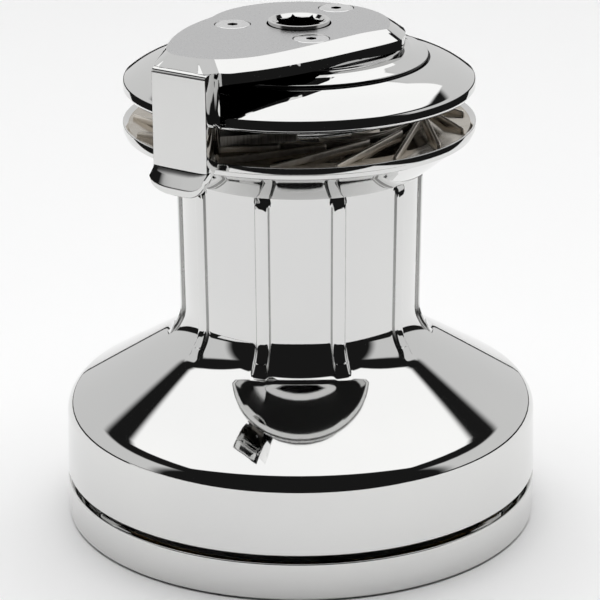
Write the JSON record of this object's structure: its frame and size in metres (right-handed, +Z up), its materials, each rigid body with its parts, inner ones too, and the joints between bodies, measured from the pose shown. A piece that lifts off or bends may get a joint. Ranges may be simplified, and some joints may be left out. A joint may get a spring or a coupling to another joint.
{
  "type": "sailboat winch",
  "caption": "Two-speed self-tailing sheet winch: wide skirt on a base ring, ribbed waisted drum, sprung rope jaws, fixed tailing arm and a star handle socket on top.",
  "frame": {"origin": "on the drum's axis, at the underside of the base", "axes": "+Z up the drum's axis; -Y is the front, with the tailing arm to the left of it"},
  "size_m": [0.226, 0.226, 0.2406],
  "materials": {
    "polished_steel": "mirror-polished stainless steel",
    "satin_steel": "fine satin stainless steel",
    "machined_steel": "machined stainless steel",
    "cast_alloy": "hard-anodised marine aluminium",
    "gear_bronze": "machined aluminium bronze",
    "bearing_plastic": "white acetal",
    "spring_steel": "spring wire"
  },
  "bodies": {
    "base": {"base_plate": "cast_alloy", "base_ring": "polished_steel", "base_ring_screws": "satin_steel", "foot_screws": "satin_steel", "centre_stem": "cast_alloy", "spindle_bush_lower": "bearing_plastic", "spindle_bush_upper": "bearing_plastic", "gear_shaft": "machined_steel", "idler_pin": "machined_steel", "drum_thrust_washer": "bearing_plastic", "bearing_spacer": "bearing_plastic", "pinion_thrust_washer": "bearing_plastic", "pinion_top_washer": "bearing_plastic", "self_tailing_arm": "polished_steel", "rope_stripper": "satin_steel", "stripper_pin": "machined_steel", "arm_screws": "satin_steel"},
    "drum": {"drum_shell": "polished_steel", "ring_gear": "gear_bronze", "ring_gear_bolts": "satin_steel", "jaw_springs": "spring_steel", "jaw_drive_keys": "machined_steel", "upper_jaw_screws": "satin_steel", "upper_jaw": "polished_steel"},
    "lower_jaw": {"lower_jaw": "polished_steel"},
    "spindle": {"spindle": "machined_steel", "spindle_pinion": "machined_steel", "fast_gear_lower_washer": "bearing_plastic", "fast_gear_upper_washer": "bearing_plastic", "spindle_circlip": "spring_steel", "fast_pawl_springs": "spring_steel"},
    "fast_pawl_1": {"fast_pawl_1": "machined_steel"},
    "fast_pawl_2": {"fast_pawl_2": "machined_steel"},
    "fast_gear": {"fast_gear": "gear_bronze"},
    "idler_gear": {"idler_gear": "gear_bronze", "idler_bush": "bearing_plastic"},
    "ratchet_gear": {"ratchet_gear": "gear_bronze"},
    "drum_pinion": {"drum_pinion": "machined_steel", "pinion_bush": "gear_bronze", "ratchet_gear_washer": "bearing_plastic", "slow_pawls": "machined_steel", "slow_pawl_springs": "spring_steel"},
    "lower_bearing": {"lower_bearing_cage": "bearing_plastic", "lower_bearing_rollers": "machined_steel"},
    "upper_bearing": {"upper_bearing_cage": "bearing_plastic", "upper_bearing_rollers": "machined_steel"}
  },
  "joints": [
    {"name": "drum_spin", "type": "hinge", "parent": "base", "child": "drum", "pos_m": [0, 0, 0.1], "axis": [0, 0, 1], "continuous": true},
    {"name": "lower_jaw_slide", "type": "slide", "parent": "drum", "child": "lower_jaw", "axis": [0, 0, 1], "range_m": [-0.004, 0], "stiffness_N_per_m": 4000, "springref_m": 0.01, "deforming": ["jaw_springs"]},
    {"name": "spindle_spin", "type": "hinge", "parent": "base", "child": "spindle", "pos_m": [0, 0, 0.1], "axis": [0, 0, 1], "continuous": true},
    {"name": "fast_gear_spin", "type": "hinge", "parent": "base", "child": "fast_gear", "pos_m": [0, 0, 0.028], "axis": [0, 0, 1], "continuous": true},
    {"name": "idler_spin", "type": "hinge", "parent": "base", "child": "idler_gear", "pos_m": [0.03425, 0.02066, 0.028], "axis": [0, 0, 1], "continuous": true},
    {"name": "ratchet_gear_spin", "type": "hinge", "parent": "base", "child": "ratchet_gear", "pos_m": [0.056, 0, 0.0175], "axis": [0, 0, 1], "continuous": true},
    {"name": "drum_pinion_spin", "type": "hinge", "parent": "base", "child": "drum_pinion", "pos_m": [0.056, 0, 0.03], "axis": [0, 0, 1], "continuous": true},
    {"name": "lower_bearing_spin", "type": "hinge", "parent": "base", "child": "lower_bearing", "pos_m": [0, 0, 0.1], "axis": [0, 0, 1], "continuous": true},
    {"name": "upper_bearing_spin", "type": "hinge", "parent": "base", "child": "upper_bearing", "pos_m": [0, 0, 0.1617], "axis": [0, 0, 1], "continuous": true},
    {"name": "fast_pawl_1_fold", "type": "hinge", "parent": "spindle", "child": "fast_pawl_1", "pos_m": [0, 0.012, 0.028], "axis": [0, 0, -1], "range_deg": [0, 16], "stiffness_Nm_per_rad": 0.02, "springref_deg": -20.05},
    {"name": "fast_pawl_2_fold", "type": "hinge", "parent": "spindle", "child": "fast_pawl_2", "pos_m": [0, -0.012, 0.028], "axis": [0, 0, -1], "range_deg": [0, 16], "stiffness_Nm_per_rad": 0.02, "springref_deg": -20.05}
  ],
  "couplings": [
    {"joint": "spindle_spin", "follows": "drum_spin", "ratio": 3.0769},
    {"joint": "fast_gear_spin", "follows": "drum_spin", "ratio": 3.0769},
    {"joint": "idler_spin", "follows": "drum_spin", "ratio": -5.7143},
    {"joint": "drum_pinion_spin", "follows": "drum_spin", "ratio": 5},
    {"joint": "ratchet_gear_spin", "follows": "drum_spin", "ratio": -1.2308},
    {"joint": "lower_bearing_spin", "follows": "drum_spin", "ratio": 0.54255},
    {"joint": "upper_bearing_spin", "follows": "drum_spin", "ratio": 0.54255}
  ]
}
